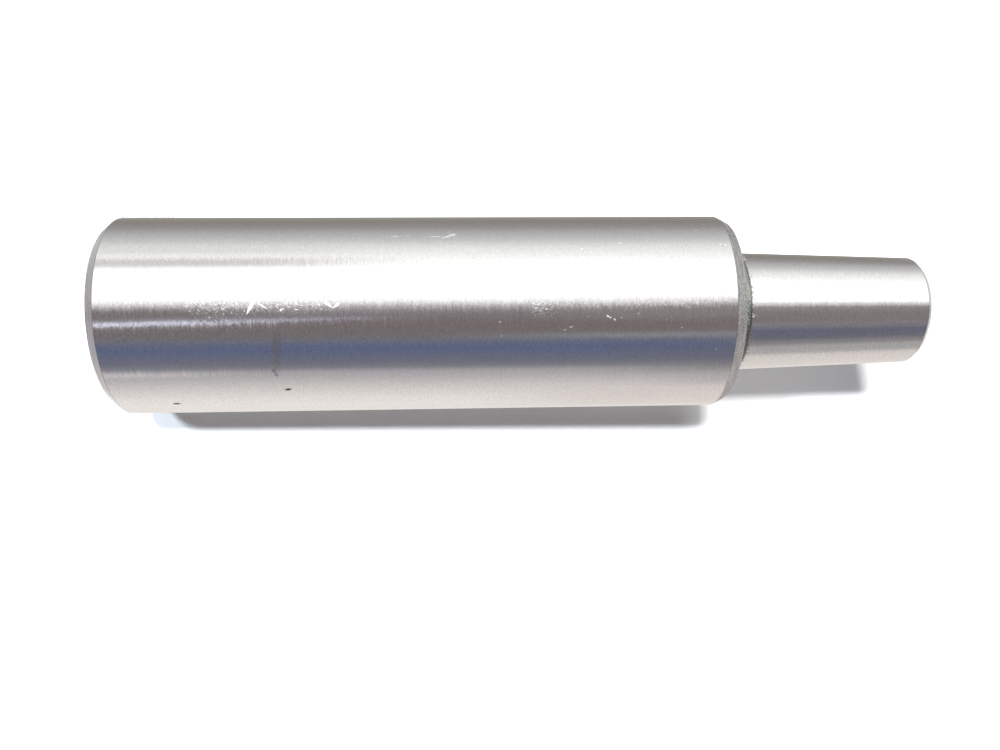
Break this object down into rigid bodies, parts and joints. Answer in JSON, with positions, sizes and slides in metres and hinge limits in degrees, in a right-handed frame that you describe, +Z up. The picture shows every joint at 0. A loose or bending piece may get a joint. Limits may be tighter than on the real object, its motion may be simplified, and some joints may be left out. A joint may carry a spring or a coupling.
{
  "type": "drill chuck arbor",
  "caption": "Straight shank arbor with a ground short taper nose that carries a drill chuck in a collet, tool holder or tailstock.",
  "frame": {"origin": "centre of the flat end of the shank, on the arbor's axis", "axes": "+Z up the axis, from the shank's end towards the chuck taper; turned all round, so +X and +Y are any two square directions"},
  "size_m": [0.0254, 0.0254, 0.1058],
  "materials": {
    "ground_steel": "cylindrically ground, fine lines round the axis, light scratches and specks"
  },
  "bodies": {
    "root": {"arbor": "ground_steel"}
  },
  "joints": []
}
